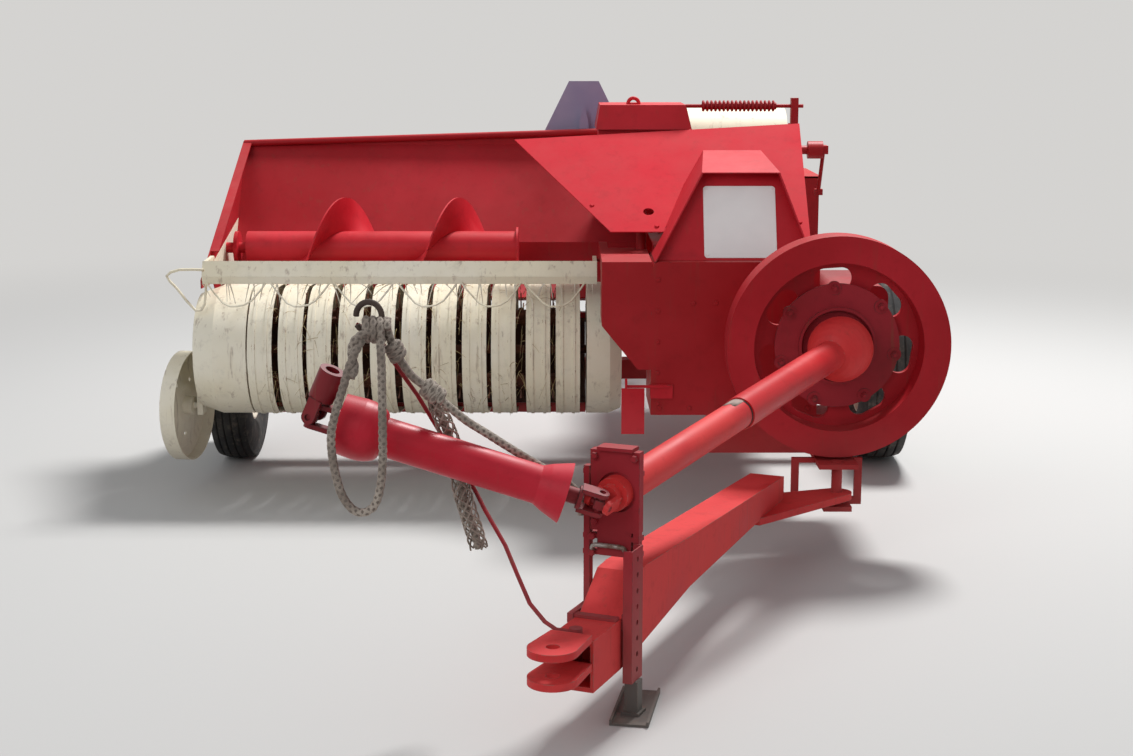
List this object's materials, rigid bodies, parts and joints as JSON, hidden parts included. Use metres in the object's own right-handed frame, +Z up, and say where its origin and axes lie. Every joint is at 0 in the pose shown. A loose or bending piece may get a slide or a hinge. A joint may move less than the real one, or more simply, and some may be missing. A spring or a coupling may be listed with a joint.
{
  "type": "pull-type square hay baler",
  "caption": "Pull-type square hay baler parked on its drawbar jack: offset tined pickup with auger platform, long bale case, heavy flywheel, angled tongue and shielded drive shaft.",
  "frame": {"origin": "on the ground at the middle of the machine's length and width", "axes": "+X towards the bale case side, -Y towards the hitch, +Z up"},
  "size_m": [2.7794, 5.0382, 1.479],
  "materials": {
    "red_paint": "faded gloss enamel over dull primer, chalky on top",
    "dark_red_paint": "faded red enamel, shaded and oily",
    "cream_paint": "off-white enamel, rust-stained and chalky",
    "worn_steel": "worn bright where it slides, dull brown elsewhere",
    "black_paint": "dull black enamel",
    "tyre_rubber": "aged, dusty grey rubber",
    "sign_back": "dull sheet, bare back",
    "rope_fibre": "braided, weathered grey"
  },
  "bodies": {
    "baler": {"main_frame": "dark_red_paint", "bale_case": "red_paint", "feed_wall": "red_paint", "front_box": "dark_red_paint", "side_box": "dark_red_paint", "gearbox": "dark_red_paint", "drive_shield": "red_paint", "slope_sheet": "red_paint", "packer_housing": "red_paint", "feeder_platform": "red_paint", "spring_rod": "dark_red_paint", "knotter_hood": "cream_paint", "knotter": "dark_red_paint", "twine_box": "dark_red_paint", "tension_rails": "red_paint", "bale_chute": "red_paint", "rear_sign": "sign_back", "tag_plate": "red_paint", "swing_bracket": "dark_red_paint"},
    "twine_lid": {"twine_lid": "dark_red_paint"},
    "metering_wheel": {"metering_wheel": "red_paint"},
    "wheel_left": {"tyre_left": "tyre_rubber", "rim_left": "cream_paint"},
    "wheel_right": {"tyre_right": "tyre_rubber", "rim_right": "cream_paint"},
    "flywheel": {"flywheel": "red_paint", "slip_clutch": "dark_red_paint"},
    "tongue": {"tongue_beam": "red_paint", "hitch_clevis": "red_paint", "drive_stand": "dark_red_paint", "drive_tube_front": "red_paint", "drive_tube_rear": "red_paint", "half_shaft": "red_paint", "tractor_yoke": "dark_red_paint", "shaft_joint": "worn_steel", "rope_guide": "dark_red_paint", "rope_loop": "rope_fibre", "rope_run": "rope_fibre", "rope_tail": "rope_fibre"},
    "jack": {"jack_channel": "red_paint", "jack_leg": "black_paint"},
    "pickup": {"pickup_frame": "cream_paint", "stripper_bands": "cream_paint", "pickup_shields": "cream_paint", "gauge_arm": "cream_paint"},
    "pickup_reel": {"pickup_reel": "dark_red_paint"},
    "gauge_wheel": {"gauge_wheel": "cream_paint"},
    "wind_guard": {"wind_guard": "cream_paint"},
    "auger": {"auger": "red_paint", "auger_flight": "red_paint"},
    "plunger": {"plunger": "worn_steel"},
    "needles": {"needle_yoke": "dark_red_paint"}
  },
  "joints": [
    {"name": "wheel_left_spin", "type": "hinge", "parent": "baler", "child": "wheel_left", "pos_m": [1.29316, 0.62914, 0.3725], "axis": [1, 0, 0], "continuous": true},
    {"name": "wheel_right_spin", "type": "hinge", "parent": "baler", "child": "wheel_right", "pos_m": [-1.23784, 0.62914, 0.343], "axis": [1, 0, 0], "continuous": true},
    {"name": "flywheel_spin", "type": "hinge", "parent": "baler", "child": "flywheel", "pos_m": [0.93016, -0.80086, 0.676], "axis": [0, 1, 0], "continuous": true},
    {"name": "tongue_swing", "type": "hinge", "parent": "baler", "child": "tongue", "pos_m": [0.93016, -0.80086, 0.2], "axis": [0, 0, 1], "range_deg": [0, 25]},
    {"name": "jack_slide", "type": "slide", "parent": "tongue", "child": "jack", "axis": [0, 0, 1], "range_m": [0, 0.1]},
    {"name": "pickup_lift", "type": "hinge", "parent": "baler", "child": "pickup", "pos_m": [-0.47084, 0.47914, 0.43], "axis": [1, 0, 0], "range_deg": [-1, 9]},
    {"name": "reel_spin", "type": "hinge", "parent": "pickup", "child": "pickup_reel", "pos_m": [-0.47084, 0.08214, 0.526], "axis": [1, 0, 0], "continuous": true},
    {"name": "gauge_wheel_spin", "type": "hinge", "parent": "pickup", "child": "gauge_wheel", "pos_m": [-1.32784, 0.06414, 0.32], "axis": [0.9848, -0.1736, 0], "continuous": true},
    {"name": "wind_guard_lift", "type": "hinge", "parent": "baler", "child": "wind_guard", "pos_m": [-0.53584, 0.06914, 0.856], "axis": [-1, 0, 0], "range_deg": [0, 30]},
    {"name": "auger_spin", "type": "hinge", "parent": "baler", "child": "auger", "pos_m": [-0.63584, 0.41414, 0.862], "axis": [1, 0, 0], "continuous": true},
    {"name": "plunger_stroke", "type": "slide", "parent": "baler", "child": "plunger", "axis": [0, 1, 0], "range_m": [0, 0.762]},
    {"name": "needle_swing", "type": "hinge", "parent": "baler", "child": "needles", "pos_m": [0.64916, 1.37914, 0.723], "axis": [-1, 0, 0], "range_deg": [0, 78]},
    {"name": "twine_lid_hinge", "type": "hinge", "parent": "baler", "child": "twine_lid", "pos_m": [0.92566, 1.84914, 1.0475], "axis": [0, -1, 0], "range_deg": [0, 95]},
    {"name": "metering_wheel_spin", "type": "hinge", "parent": "baler", "child": "metering_wheel", "pos_m": [0.64916, 1.44914, 1.031], "axis": [1, 0, 0], "continuous": true}
  ]
}
